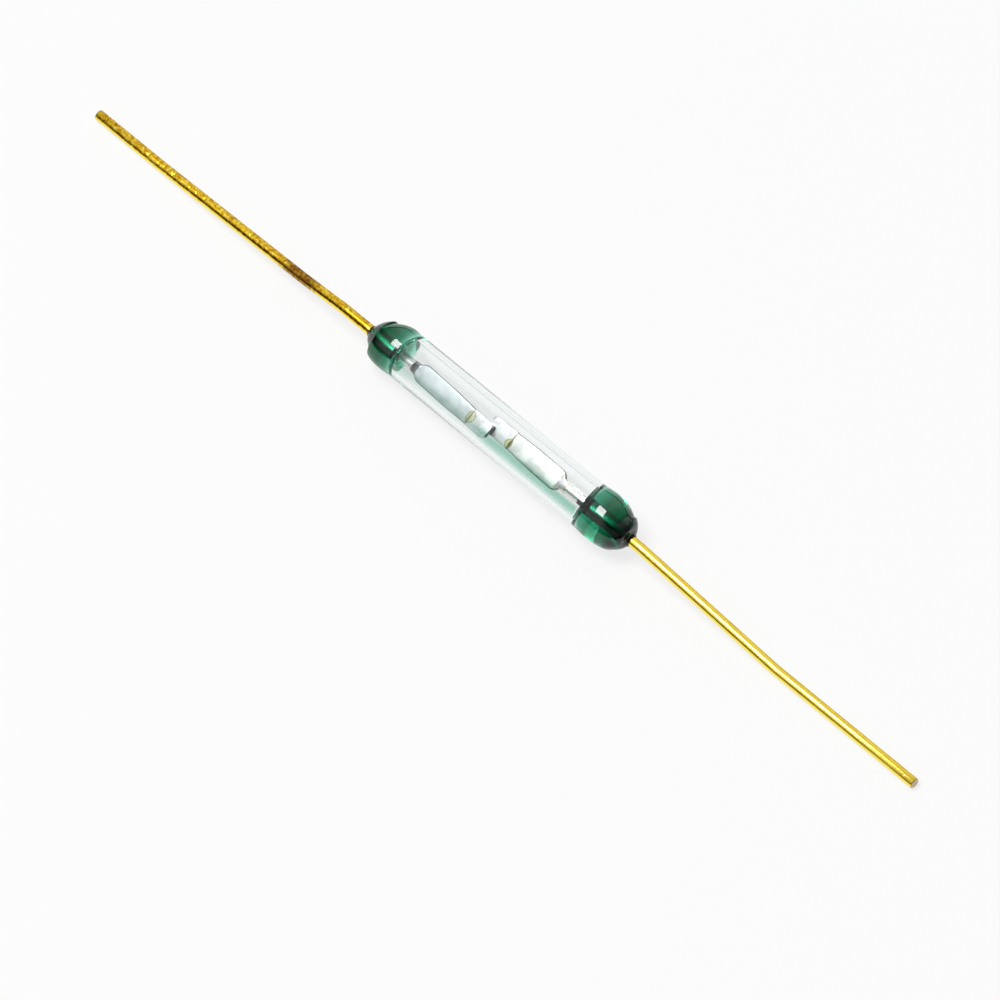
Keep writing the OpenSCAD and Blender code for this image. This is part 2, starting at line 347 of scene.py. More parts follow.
def paintGold(tree, s, stains, grain, along):  # plating with grain, painted reflections on its flanks, a patch and the cut end
    look = wireLook
    colour = blendColour(tree, times(tree, stains, s["pitShare"]), s["gold"], look["goldDeep"])
    for ramp, gold in (("grainDeep", "goldDeep"), ("grainPale", "goldPale")):
        share = times(tree, ease(tree, grain, *look[ramp]), s["pitShare"])
        colour = blendColour(tree, share, colour, look[gold])
    facing = splitUp(tree, readAttribute(tree, "wireFacing", "Vector"))
    # Painted reflection of the white table on the lower flank
    colour = blendColour(tree, ease(tree, facing[0], *look["paleTableReflection"]), colour, look["goldPale"])
    # Painted dark reflection along the lower flank, on the side towards the camera, broken by the grain
    darkReflection = band(tree, facing[0], look["darkReflectionRise"], s["darkReflectionFall"])
    darkReflection = times(tree, darkReflection, ease(tree, facing[1], *look["darkReflectionFront"]))
    darkReflection = times(tree, darkReflection, ease(tree, along, *look["darkReflectionRun"], *s["darkReflectionShare"]))
    darkReflection = times(tree, darkReflection, ease(tree, grain, *look["darkReflectionGrain"]))
    colour = blendColour(tree, darkReflection, colour, look["darkReflection"])
    if s["patchAt"]:
        away = calc(tree, "ABSOLUTE", calc(tree, "SUBTRACT", along, s["patchAt"]))
        holes = times(tree, ease(tree, grain, *look["patchHoles"]), look["patchHoleShare"])
        patch = calc(tree, "SUBTRACT", ease(tree, away, *look["patchRamp"]), holes, clamp=True)
        colour = blendColour(tree, patch, colour, look["brownPatch"])
    return blendColour(tree, easeFrom(tree, along, look["wireEnd"], look["cutRamp"]), colour, look["cutEnd"])


def makeWireMaterial(side):
    look, s = wireLook, wireLook[side]
    material, tree, shader = newMaterial(s["name"])
    where = objectPlace(tree)
    marks = useGroup(tree, surfaceMarks, {"Place": where, "Pit Share": s["pitShare"], **look["marks"]})
    parts = splitUp(tree, where)
    along = calc(tree, "ABSOLUTE", times(tree, parts[0], perMetre))
    grain = addNoise(tree, where, look["grainScale"], look["grainDetail"])
    colour = paintGold(tree, s, marks["Stains"], grain, along)
    # A brown ring just outside the glass, then the glass's grip, pale with a painted highlight in the middle
    # and darker with painted shade over the oxide at its flanks
    brown = easeFrom(tree, along, s["glassEnd"], look["brownRamp"], 1.0, 0.0)
    colour = blendColour(tree, brown, colour, look["brownRing"])
    gripped = easeFrom(tree, along, s["glassEnd"], look["gripRamp"], 1.0, 0.0)
    across = calc(tree, "SUBTRACT", measure(tree, parts, acrossWay), s["aside"] * acrossWay[0])
    light = times(tree, ease(tree, across, *look["gripHighlight"]), ease(tree, across, *look["gripFade"]))
    inGlass = blendColour(tree, light, look["grippedDark"], look["gripped"])
    colour = blendColour(tree, gripped, colour, inGlass)
    # Black oxide where the wire comes out inside, bare metal further in, and oxide creeping along its flanks
    ring = times(tree, easeFrom(tree, along, s["innerFace"], look["oxideRise"]),
                 easeFrom(tree, along, s["innerFace"], look["oxideFall"], 1.0, 0.0))
    colour = blendColour(tree, ring, colour, look["oxide"])
    inside = easeFrom(tree, along, s["innerFace"], look["insideRamp"], 1.0, 0.0)
    colour = blendColour(tree, inside, colour, look["bareMetal"])
    creep = times(tree, easeFrom(tree, along, s["creepFrom"], look["creepRamp"]), inside)
    flanks = calc(tree, "MAXIMUM", ease(tree, across, *look["creepLow"]),
                  ease(tree, across, *look["creepHigh"]))
    colour = blendColour(tree, times(tree, creep, flanks), colour, look["oxide"])
    wetted = times(tree, gripped, easeFrom(tree, along, s["innerFace"], look["wettedRamp"]))
    roughness = ease(tree, marks["Lines"], *look["roughnessRamp"])
    roughness = calc(tree, "MULTIPLY_ADD", wetted, look["wettedRoughness"], roughness)
    finishMetal(tree, shader, colour, roughness, marks["Height"], (s["pitDepth"], look["grooveDepth"]))
    return material


# Blades: satin pressed metal, with an oval stain where the contact plating begins
bladeLook = {
    "rootShade": (0.02, 0.012, 0.01, 1.0),
    "edgeShade": (0.10, 0.11, 0.10, 1.0),
    "line": (0.035, 0.03, 0.015, 1.0),  # the border of the plating
    "olive": (0.12, 0.11, 0.02, 1.0),  # the middle of the oval stain and the ring round it
    "oval": (0.62, 0.60, 0.20, 1.0),
    "cream": (0.95, 0.84, 0.62, 1.0),
    "marks": {"Line Scale": 16.0, "Stretch": 0.12, "Pit Scale": 7.0, "Pit Share": 0.35, "Stain Scale": 1.7},
    "stainShade": 0.78,
    "roughnessRamp": (0.2, 0.8, 0.3, 0.46),
    "bump": (0.25, 0.01),  # strength and depth
    "rootShadeRise": (-0.01, 0.05),  # painted dark reflection on the stamped root, in millimetres along the blade
    "rootShadeFrom": 0.02,
    "rootShadeShare": 0.8,
    "creamRise": (0.03, 0.05),  # a painted cream reflection along each edge near the root, in from the edge
    "creamFall": (0.07, 0.1),
    "creamRun": (0.6, 0.9),
    "shineAside": (0.03, 0.09, 1.0, 0.0),  # a painted highlight line along the middle
    "shineRun": (0.9, 2.0),
    "edgeRamp": (0.014, 0.046, 0.95, 0.0),
    "edgeRun": (0.1, 0.3),
    # For each side, streaks is how much of the painted cream lines and the painted highlight line shows
    # The left blade's metal is a darker, bluer copy of the right's: painted shade
    "left": {"metal": (0.66, 0.72, 0.73, 1.0), "rootShadeTo": 0.3, "streaks": 0.0},
    "right": {"metal": (0.86, 0.86, 0.84, 1.0), "rootShadeTo": 0.12, "streaks": 1.0},
}

# The oval stain lies half on the blade and half on the plating. Sizes are millimetres.
ovalLook = {
    "fillRamp": (0.0, 0.03),
    "fillShare": (0.2, 0.65),  # always, and with the stain's strength
    "ringRise": (-0.005, 0.015),
    "ringFall": (0.02, 0.07),
    "ringShare": 0.8,
    "middleRamp": (0.03, 0.12),
    "middleNarrowing": 0.1,
    "lineRamp": (0.012, 0.03, 0.8, 0.0),
    "left": {"centre": 0.0, "half": 0.31, "onBlade": 0.17, "onPlating": 0.24, "strength": 0.5},
    "right": {"centre": 0.17, "half": 0.25, "onBlade": 0.11, "onPlating": 0.23, "strength": 1.0},
}


def addOval(tree, colour, away, across, side, piece):  # half of the oval stain, and the border line
    look, s = ovalLook, ovalLook[side]
    off = calc(tree, "DIVIDE", calc(tree, "SUBTRACT", across, s["centre"]), s["half"])
    edge = calc(tree, "MULTIPLY_ADD", times(tree, off, off), -s[piece], s[piece])
    inside = calc(tree, "SUBTRACT", edge, away)
    fill = look["fillShare"][0] + look["fillShare"][1] * s["strength"]
    colour = blendColour(tree, ease(tree, inside, *look["fillRamp"], 0.0, fill), colour, bladeLook["oval"])
    ring = band(tree, inside, look["ringRise"], look["ringFall"])
    narrowed = times(tree, calc(tree, "ABSOLUTE", off), look["middleNarrowing"])
    middle = ease(tree, calc(tree, "ADD", away, narrowed), *look["middleRamp"], s["strength"], 0.0)
    dark = calc(tree, "MAXIMUM", times(tree, ring, look["ringShare"]), middle)
    colour = blendColour(tree, dark, colour, bladeLook["olive"])
    return blendColour(tree, ease(tree, away, *look["lineRamp"]), colour, bladeLook["line"])


def makeBladeMaterial(side):
    look, s = bladeLook, bladeLook[side]
    material, tree, shader = newMaterial("pressedMetal" + side.capitalize())
    marks = useGroup(tree, surfaceMarks, {"Place": objectPlace(tree), **look["marks"]})
    # Millimetres from the root, to the border of the plating, and in from the edge
    along, toBorder, fromEdge = splitUp(tree, readAttribute(tree, "bladeRun", "Vector"))
    across = readAttribute(tree, "bladeSide", "Fac")
    colour = blendColour(tree, marks["Stains"], s["metal"], darkened(s["metal"], look["stainShade"]))
    # Painted dark reflection on the stamped root
    rootShading = band(tree, along, look["rootShadeRise"], (look["rootShadeFrom"], s["rootShadeTo"]))
    colour = blendColour(tree, times(tree, rootShading, look["rootShadeShare"]), colour, look["rootShade"])
    colour = addOval(tree, colour, toBorder, across, side, "onBlade")
    # Painted cream reflection along the edges near the shoulders
    cream = band(tree, fromEdge, look["creamRise"], look["creamFall"])
    cream = times(tree, cream, ease(tree, along, *look["creamRun"], s["streaks"], 0.0))
    colour = blendColour(tree, cream, colour, look["cream"])
    # Painted highlight along the middle of the blade
    shine = times(tree, ease(tree, calc(tree, "ABSOLUTE", across), *look["shineAside"]),
                  ease(tree, along, *look["shineRun"], s["streaks"], 0.0))
    colour = blendColour(tree, shine, colour, white)
    edge = times(tree, ease(tree, fromEdge, *look["edgeRamp"]), ease(tree, along, *look["edgeRun"]))
    colour = blendColour(tree, edge, colour, look["edgeShade"])
    roughness = ease(tree, marks["Lines"], *look["roughnessRamp"])
    finishMetal(tree, shader, colour, roughness, marks["Height"], look["bump"])
    return material


# Contact plating: brighter metal, with painted shade where the other tip lies on it or at its cut end
platingLook = {
    "metal": (0.82, 0.84, 0.85, 1.0),
    "contactShadow": (0.03, 0.04, 0.035, 1.0),
    "marks": {"Line Scale": 9.0, "Stretch": 0.5, "Pit Scale": 6.0, "Pit Share": 0.3, "Stain Scale": 2.2},
    "stainShade": 0.82,
    "roughnessRamp": (0.2, 0.8, 0.24, 0.38),
    "bump": (0.15, 0.01),
    "contactShadowRamp": (0.0, 0.03),
    "contactShadowSideRamp": (0.0, 0.04),
    "contactShadowShare": 0.93,
    "left": {"contactShadowFrom": 0.99, "contactShadowTo": 2.0, "contactShadowAside": -1.0},  # from the border, and across the blade
    "right": {"contactShadowFrom": 0.83, "contactShadowTo": 0.98, "contactShadowAside": 0.0},
}


def makePlatingMaterial(side):
    look, s = platingLook, platingLook[side]
    material, tree, shader = newMaterial("contactPlating" + side.capitalize())
    marks = useGroup(tree, surfaceMarks, {"Place": objectPlace(tree), **look["marks"]})
    along, across, _ = splitUp(tree, readAttribute(tree, "bladeRun", "Vector"))
    colour = blendColour(tree, marks["Stains"], look["metal"], darkened(look["metal"], look["stainShade"]))
    colour = addOval(tree, colour, along, across, side, "onPlating")
    # Painted shade at the left tip's end, and painted shadow of the left tip on the right plating
    contactShadow = times(tree, easeFrom(tree, along, s["contactShadowFrom"], look["contactShadowRamp"]),
                 easeFrom(tree, along, s["contactShadowTo"], look["contactShadowRamp"], 1.0, 0.0))
    contactShadow = times(tree, contactShadow, easeFrom(tree, across, s["contactShadowAside"], look["contactShadowSideRamp"]))
    colour = blendColour(tree, times(tree, contactShadow, look["contactShadowShare"]), colour, look["contactShadow"])
    roughness = ease(tree, marks["Lines"], *look["roughnessRamp"])
    finishMetal(tree, shader, colour, roughness, marks["Height"], look["bump"])
    return material


greenGlass = makeGlassMaterial()
wireMetal = {side: makeWireMaterial(side) for side in ("left", "right")}
bladeMetal = {side: makeBladeMaterial(side) for side in ("left", "right")}
platingMetal = {side: makePlatingMaterial(side) for side in ("left", "right")}
print("materials made")


# Mesh helpers
def lineOf(bm, points):  # an open line of edges through a few points
    verts = [bm.verts.new(p) for p in points]
    return verts, [bm.edges.new(pair) for pair in zip(verts, verts[1:])]


def ringEdges(bm, verts):
    keep = set(verts)
    return [e for e in bm.edges if e.verts[0] in keep and e.verts[1] in keep]


def sortOut(made):  # the points and the edges of what an operator made
    verts = [g for g in made if isinstance(g, bmesh.types.BMVert)]
    return verts, [g for g in made if isinstance(g, bmesh.types.BMEdge)]


def pullRing(bm, edges):  # extrudes a ring of edges and returns the new ring
    return sortOut(bmesh.ops.extrude_edge_only(bm, edges=edges)["geom"])


def middleOf(verts):
    return sum((v.co for v in verts), Vector()) / len(verts)


def merge(bm):
    bmesh.ops.remove_doubles(bm, verts=bm.verts, dist=mergeDistance)


def handIn(bm, name, body, node, material, sharp=40):  # edges over so many degrees are sharp
    merge(bm)
    bmesh.ops.scale(bm, vec=(mm, mm, mm), verts=bm.verts)
    mesh = bpy.data.meshes.new(name)
    bm.to_mesh(mesh)
    bm.free()
    mesh.materials.append(material)
    mesh.polygons.foreach_set("use_smooth", [True] * len(mesh.polygons))
    mesh.set_sharp_from_angle(angle=math.radians(sharp))
    obj = bpy.data.objects.new(name, mesh)
    scene.collection.objects.link(obj)
    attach(obj, body)
    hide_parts(node)
    return obj


def addVectors(obj, name, vectors):  # three numbers for each point, for a material to read
    attribute = obj.data.attributes.new(name, "FLOAT_VECTOR", "POINT")
    attribute.data.foreach_set("vector", [c for vector in vectors for c in vector])


# Glass envelope: a profile spun round the tube's axis, outside and inside, then leaned at the noses
glassShape = {
    "tubeRadius": 1.0,
    "boreRadius": 0.775,
    "lipRadius": 0.26,  # of the glass where it ends on the wires
    "left": {"sealRadius": 1.03, "swell": (5.17, 5.67), "nose": (5.5, 1.43, 6.95), "coneSlope": 0.5,
             "innerEnd": 5.40, "corner": (0.38, 0.515)},
    "right": {"sealRadius": 1.06, "swell": (4.55, 5.45), "nose": (5.46, 1.58, 7.05), "coneSlope": 0.65,
              "innerEnd": 4.8, "corner": (0.28, 0.28)},
    "coneLength": 0.2,  # the last stretch of a nose may be a cone
    "coneBlend": 0.05,
    "blendEnd": 0.02,  # the very end takes no blend, so that it meets the lip
    "creepLength": 0.14,  # the glass creeps up the wire at the inner faces
    "creepHeight": 0.13,
    "sides": 128,
    "swellSteps": 14,
    "noseSteps": 44,
    "crowding": 1.4,  # more than 1 puts the stations of a nose closer together at its wire
    "cornerSteps": 18,
    "creepSteps": 8,
    "sharpAngle": 55,
}

# The noses lean with their wires, and the inner faces aren't square to the tube. A lean is its
# amount, where it begins and where it is full.
glassLean = {
    "innerRadius": 0.8,
    "faceRamp": (0.3, 0.7),
    "halfDepth": 1.056,  # of the part's box
    "left": {"innerFrom": 4.5, "push": 0.0, "tiltFront": 0.0, "tiltAcross": 0.04, "wireAside": 0.12,
             "aside": (0.16, 5.45, 6.7), "asideBack": (0.04, 6.7, 6.93), "sag": (0.03, 5.75, 6.6)},
    "right": {"innerFrom": 4.2, "push": 0.07, "tiltFront": 0.20, "tiltAcross": 0.0, "wireAside": 0.03,
              "aside": (0.05, 5.6, 6.5), "asideBack": (0.02, 6.6, 6.95), "sag": (0.02, 5.9, 6.5)},
    "sagEnd": (6.6, 6.95),
}

# Dark shade at the right end, on the rounded end of the bore and on the nose near its wire. The
# ramps are along the rounded end, across the tube, and out from the axis.
rimShade = {
    "radius": 0.79,
    "from": 4.5,
    "begin": (0.0, 0.1),
    "nearBar": (0.25, 0.45),
    "farBar": (0.75, 0.9),
    "middle": (0.3, 0.42),
    "ends": (0.82, 0.95),
    "outwards": (0.25, 0.5),  # in millimetres
}


def smooth(value, low, high):
    t = min(1.0, max(0.0, (value - low) / (high - low)))
    return t * t * (3 - 2 * t)


def noseRadius(side, x):  # radius of the outside at distance x from the middle
    s, tube = glassShape[side], glassShape["tubeRadius"]
    middle, length, end = s["nose"]
    start, full = s["swell"]
    swell = (1 - math.cos(math.pi * min(1.0, max(0.0, (x - start) / (full - start))))) / 2
    body = tube + (s["sealRadius"] - tube) * swell
    dome = body * math.sqrt(max(0.0, 1 - (max(0.0, x - middle) / length) ** 2))
    cone = 0.0
    if x > end - glassShape["coneLength"]:
        cone = glassShape["lipRadius"] + s["coneSlope"] * max(0.0, end - x)
    blend = glassShape["coneBlend"]  # within this the dome and the cone flow into each other
    h = max(0.0, blend - abs(dome - cone)) / blend
    return max(dome, cone) + (h * h * blend / 4 if x < end - glassShape["blendEnd"] else 0.0)


def outerProfile():
    points = []
    count, steps = glassShape["swellSteps"], glassShape["noseSteps"]
    for side, sign in (("left", -1), ("right", 1)):
        middle, _, end = glassShape[side]["nose"]
        start = glassShape[side]["swell"][0]
        stations = [start + (middle - start) * i / count for i in range(count)]
        stations += [middle + (end - middle) * (1 - (1 - i / steps) ** glassShape["crowding"])
                     for i in range(steps + 1)]
        half = [(sign * x, 0, noseRadius(side, x)) for x in stations]
        points += half[::-1] if side == "left" else half
    return [(-glassShape["left"]["nose"][2], 0, 0)] + points + [(glassShape["right"]["nose"][2], 0, 0)]


def innerProfile():
    points = []
    bore, lip, creep = glassShape["boreRadius"], glassShape["lipRadius"], glassShape["creepLength"]
    high, count, steps = glassShape["creepHeight"], glassShape["cornerSteps"], glassShape["creepSteps"]
    for side, sign in (("left", -1), ("right", 1)):
        end = glassShape[side]["innerEnd"]
        deep, wide = glassShape[side]["corner"]
        half = []
        for i in range(count + 1):  # rounded end of the bore
            a = math.pi / 2 * i / count
            x, r = end - deep + deep * math.sin(a), bore - wide + wide * math.cos(a)
            if r > lip + high:
                half.append((x, r))
        end = half[-1][0]
        for i in range(1, steps + 1):  # glass creeps up the wire
            a = math.pi / 2 * i / steps
            half.append((end - creep * (1 - math.cos(a)), lip + high * (1 - math.sin(a))))
        half.append((end - creep, 0))
        half = [(sign * x, 0, r) for x, r in half]
        points += half[::-1] if side == "left" else half
    return points


def leanPart(value, lean):
    return lean[0] * smooth(value, lean[1], lean[2])


def leanGlass(bm):
    bore, widest = glassShape["boreRadius"], glassLean["halfDepth"]
    for v in bm.verts:
        x, y, z = v.co
        r, far = math.hypot(y, z), abs(x)
        s = glassLean["left" if x < 0 else "right"]
        # The outside of a nose within this radius moves like the inner face too, which leaves a step there
        if far > s["innerFrom"] and r < glassLean["innerRadius"]:
            face = smooth(r, *glassLean["faceRamp"])
            front, over = reach(y, z, frontWay) / bore, reach(y, z, acrossWay) / bore
            v.co.x += (s["push"] + s["tiltFront"] * front + s["tiltAcross"] * over) * face
            v.co.y -= s["wireAside"] * (1 - face)
        else:
            v.co.y -= leanPart(far, s["aside"]) - leanPart(far, s["asideBack"])
            v.co.z -= leanPart(far, s["sag"]) * (1 - smooth(far, *glassLean["sagEnd"]))
        v.co.y = max(-widest, min(widest, v.co.y))


def markRim(bm):
    rim = bm.verts.layers.float.new("innerRim")
    deep = glassShape["right"]["corner"][0]
    start = glassShape["right"]["innerEnd"] - deep
    for v in bm.verts:
        r = math.hypot(v.co.y, v.co.z)
        if r < rimShade["radius"] and v.co.x > rimShade["from"]:
            t = (v.co.x - start) / deep
            over = abs(reach(v.co.y, v.co.z, acrossWay)) / glassShape["boreRadius"]
            ends = max(smooth(over, *rimShade["ends"]), 1 - smooth(over, *rimShade["middle"]))
            bar = max(1 - smooth(t, *rimShade["nearBar"]), smooth(t, *rimShade["farBar"]), ends)
            v[rim] = bar * smooth(t, *rimShade["begin"]) * smooth(r, *rimShade["outwards"])


def makeGlass():
    bm = bmesh.new()
    for profile, outward in ((outerProfile(), True), (innerProfile(), False)):
        shell = bmesh.new()
        verts, edges = lineOf(shell, profile)
        bmesh.ops.spin(shell, geom=verts + edges, cent=(0, 0, 0), axis=(1, 0, 0), dvec=(0, 0, 0),
                       angle=2 * math.pi, steps=glassShape["sides"], use_merge=True)
        merge(shell)
        bmesh.ops.recalc_face_normals(shell, faces=shell.faces)
        if not outward:
            bmesh.ops.reverse_faces(shell, faces=shell.faces)
        part = bpy.data.meshes.new("glassShell")
        shell.to_mesh(part)
        shell.free()
        bm.from_mesh(part)
        bpy.data.meshes.remove(part)
    markRim(bm)
    leanGlass(bm)
    handIn(bm, "glassEnvelope", "switch_body", "glass_envelope", greenGlass,
           glassShape["sharpAngle"])


makeGlass()
print("glass made")

# Leads: a ring of wire pulled straight, and spun round a centre for each bend. The roots are where
# the round wires turn into reeds, the corners are given by distance from the middle and drop, and a
# lean is how many degrees a lead's bends are rolled aside.
leadShape = {
    "wireRadius": 0.225,
    "bendRadius": 4.0,
    "bendSteps": 8,
    "sides": 48,
    "cutEnd": ((0.02, 0.96), (0.01, 0.94)),  # the cut end is rounded in two steps, by length and scale
    "left": {"root": (-4.63, -0.12, 0.0), "lean": 11.0,
             "corners": [(8.5, 0.0), (10.7, 0.332), (18.7, 0.83), (22.15, 0.83)]},
    "right": {"root": (3.66, -0.03, 0.0), "lean": 2.0,
              "corners": [(7.5, 0.0), (14.75, 0.83), (22.15, 0.83)]},
}


def makeLead(side, material):
    s, bend = leadShape[side], leadShape["bendRadius"]
    start = abs(s["root"][0])
    corners = [Vector((x - start, 0, -drop)) for x, drop in [(start, 0.0)] + s["corners"]]
    legs = [b - a for a, b in zip(corners, corners[1:])]
    slopes = [math.atan2(-leg.z, leg.x) for leg in legs]
    turns = [b - a for a, b in zip(slopes, slopes[1:])]
    cuts = [0.0] + [bend * math.tan(abs(t) / 2) for t in turns] + [0.0]
    rounding = sum(length for length, _ in leadShape["cutEnd"])
    bm = bmesh.new()
    ring = bmesh.ops.create_circle(bm, cap_ends=True, segments=leadShape["sides"],
                                   radius=leadShape["wireRadius"])["verts"]
    bmesh.ops.rotate(bm, cent=(0, 0, 0), matrix=Matrix.Rotation(math.pi / 2, 3, "Y"), verts=ring)
    edges = ringEdges(bm, ring)
    for i, leg in enumerate(legs):
        way = leg.normalized()
        length = leg.length - cuts[i] - cuts[i + 1] - (rounding if i == len(legs) - 1 else 0.0)
        ring, edges = pullRing(bm, edges)
        bmesh.ops.translate(bm, vec=way * length, verts=ring)
        if i < len(turns):  # the bend turns the ring about an axis along Y
            upright = Vector((way.z, 0, -way.x)) * (1 if turns[i] > 0 else -1)
            centre = middleOf(ring) + upright * bend
            made = bmesh.ops.spin(bm, geom=edges, cent=centre, axis=(0, 1, 0), dvec=(0, 0, 0),
                                  angle=turns[i], steps=leadShape["bendSteps"], use_merge=False)
            ring, edges = sortOut(made["geom_last"])
    way = legs[-1].normalized()
    for length, scale in leadShape["cutEnd"]:
        ring, edges = pullRing(bm, edges)
        centre = middleOf(ring)
        bmesh.ops.translate(bm, vec=way * length, verts=ring)
        bmesh.ops.scale(bm, vec=(1, scale, scale), verts=ring, space=Matrix.Translation(-centre))
    bmesh.ops.contextual_create(bm, geom=edges)
    facingEnd = Matrix.Rotation(math.pi, 3, "Z") if side == "left" else Matrix.Identity(3)
    lean = Matrix.Rotation(math.radians(s["lean"]), 3, "X")
    bmesh.ops.rotate(bm, cent=(0, 0, 0), matrix=lean @ facingEnd, verts=bm.verts)
    bmesh.ops.translate(bm, vec=s["root"], verts=bm.verts)
    bmesh.ops.recalc_face_normals(bm, faces=bm.faces)
    obj = handIn(bm, side + "Lead", "switch_body", side + "_lead", material)
    # Which way each point faces, for the painted reflections on the gold
    normals = [v.normal for v in obj.data.vertices]
    facing = [(reach(n.y, n.z, acrossWay), reach(n.y, n.z, frontWay), 0.0) for n in normals]
    addVectors(obj, "wireFacing", facing)


for side in ("left", "right"):
    makeLead(side, wireMetal[side])
print("leads made")

# Reeds: round wire pressed flat, with rounded sides, shoulders and tip
reedShape = {
    "thickness": 0.18,
    "turn": 30.0,  # degrees by which each blade is rolled round its length
    "tipCorner": 0.19,
    "tipShare": 0.88,  # share of its width that a blade keeps under its plating
    "taper": 1.2,
    "shoulder": 0.35,
    "rootFlare": 0.03,
    "squareness": 6.5,  # 2 is round wire, more is a flatter strip with tighter edges
    "sides": 56,
    "shoulderSteps": 10,
    "runSteps": (8, 4, 4),  # to the taper, to the plating's border, and to the tip's corners
    "tipSteps": 12,
    "tipEdge": 0.03,  # within this of its end a tip is thinner
    "tipThinning": (0.94, 0.8),
    "platingThickness": 0.015,
    "platingEdge": (0.008, 0.03),  # the plating's first stations, from its border
    "platingSteps": 8,
    "overEnd": 0.25,  # share of the tip's corner over which the plating grows past the end
    "borderReach": 0.004,
    "borderThinning": (0.975, 0.9),  # across and through
    "sharpAngle": 28,
    "left": {"tip": (-0.37, -0.315, 0.0035), "width": 0.8, "step": 0.25, "shoulderAt": 0.9, "plating": 1.0},
    "right": {"tip": (-0.645, 0.1359, -0.0895), "width": 0.9, "step": 0.5, "shoulderAt": 0.6, "plating": 1.2},
}


def reedWay(side):  # from the root to the tip
    return Vector(reedShape[side]["tip"]) - Vector(leadShape[side]["root"])


def reedSection(side, x, grow=0.0):  # half width and half thickness of a reed at x from its root
    s, length = reedShape[side], reedWay(side).length
    step, w, wire = s["step"], s["width"] / 2, leadShape["wireRadius"]
    r, begin = reedShape["shoulder"], step * s["shoulderAt"]
    border = length - s["plating"]
    w *= 1 - (1 - reedShape["tipShare"]) * min(1.0, max(0.0, 1 + (x - border) / reedShape["taper"]))
    half = w
    if x < begin + r:
        half = w - r + math.sqrt(max(0.0, r * r - (begin + r - x) ** 2)) if x > begin else 0.0
        half = max(half, wire + reedShape["rootFlare"] * min(1.0, x / step))
    c = reedShape["tipCorner"]
    if x > length - c:
        half = w - c + math.sqrt(max(0.0, c * c - (x - length + c) ** 2))
    t = min(1.0, x / step)
    thick = wire + (reedShape["thickness"] / 2 - wire) * t
    return half + grow, thick + grow


def placeKey(v):
    return tuple(round(c, 6) for c in v.co)


def pressReed(bm, side, stations, grow=0.0):  # a ring pulled along the reed is pressed flat at each station
    s, length = reedShape[side], reedWay(side).length
    ring = bmesh.ops.create_circle(bm, cap_ends=True, segments=reedShape["sides"], radius=1.0)["verts"]
    angles = {v: math.atan2(v.co.y, v.co.x) for v in ring}
    edges = ringEdges(bm, ring)
    order = sorted(ring, key=lambda v: angles[v])
    spread = [angles[v] for v in order]
    for i, x in enumerate(stations):
        if i:  # the new ring keeps the order of the old one
            ring, edges = pullRing(bm, edges)
            was = {placeKey(v): n for n, v in enumerate(order)}
            order = sorted(ring, key=lambda v: was[placeKey(v)])
        half, thick = reedSection(side, min(x, length), grow)
        pressed = min(1.0, max(0.0, x / s["step"]))
        power = 2.0 / (2.0 + (reedShape["squareness"] - 2.0) * pressed)
        if x > length - reedShape["tipEdge"]:
            thick *= reedShape["tipThinning"][1 if x >= length - tiny else 0]
        for v, a in zip(order, spread):
            y = math.copysign(abs(math.cos(a)) ** power, math.cos(a))
            z = math.copysign(abs(math.sin(a)) ** power, math.sin(a))
            v.co = Vector((x, half * y, thick * z))
    bmesh.ops.contextual_create(bm, geom=edges)
    bmesh.ops.recalc_face_normals(bm, faces=bm.faces)


def setReed(bm, side):  # turns a reed to its place, from its root to its tip
    way = reedWay(side)
    turn = math.radians(reedShape["turn"] if way.x > 0 else -reedShape["turn"])
    rise = math.atan2(way.z, math.hypot(way.x, way.y))
    matrix = (Matrix.Rotation(math.atan2(way.y, way.x), 3, "Z") @ Matrix.Rotation(-rise, 3, "Y")
              @ Matrix.Rotation(turn, 3, "X"))
    bmesh.ops.rotate(bm, cent=(0, 0, 0), verts=bm.verts, matrix=matrix)
    bmesh.ops.translate(bm, vec=leadShape[side]["root"], verts=bm.verts)


def tipStations(length):  # round the corners of the tip
    c, count = reedShape["tipCorner"], reedShape["tipSteps"]
    return [length - c + c * math.sin(math.pi / 2 * i / count) for i in range(1, count + 1)]


def makeBlade(side, material):
    s, length = reedShape[side], reedWay(side).length
    begin, r, count = s["step"] * s["shoulderAt"], reedShape["shoulder"], reedShape["shoulderSteps"]
    stations = [0.0, begin * 0.5, begin]
    stations += [begin + r * (1 - math.cos(math.pi / 2 * i / count)) for i in range(1, count + 1)]
    stations = sorted(set(round(x, 5) for x in stations + [s["step"]]))
    border = length - s["plating"]
    for end, count in zip((border - reedShape["taper"], border, length - reedShape["tipCorner"]),
                          reedShape["runSteps"]):
        stations += [stations[-1] + (end - stations[-1]) * i / count for i in range(1, count + 1)]
    bm = bmesh.new()
    pressReed(bm, side, stations + tipStations(length))
    merge(bm)
    runs = [(v.co.x, border - v.co.x, reedSection(side, v.co.x)[0] - abs(v.co.y)) for v in bm.verts]
    sides = [v.co.y for v in bm.verts]
    setReed(bm, side)
    obj = handIn(bm, side + "ReedBlade", side + "_reed", side + "_reed_blade", material,
                 reedShape["sharpAngle"])
    addVectors(obj, "bladeRun", runs)
    obj.data.attributes.new("bladeSide", "FLOAT", "POINT").data.foreach_set("value", sides)


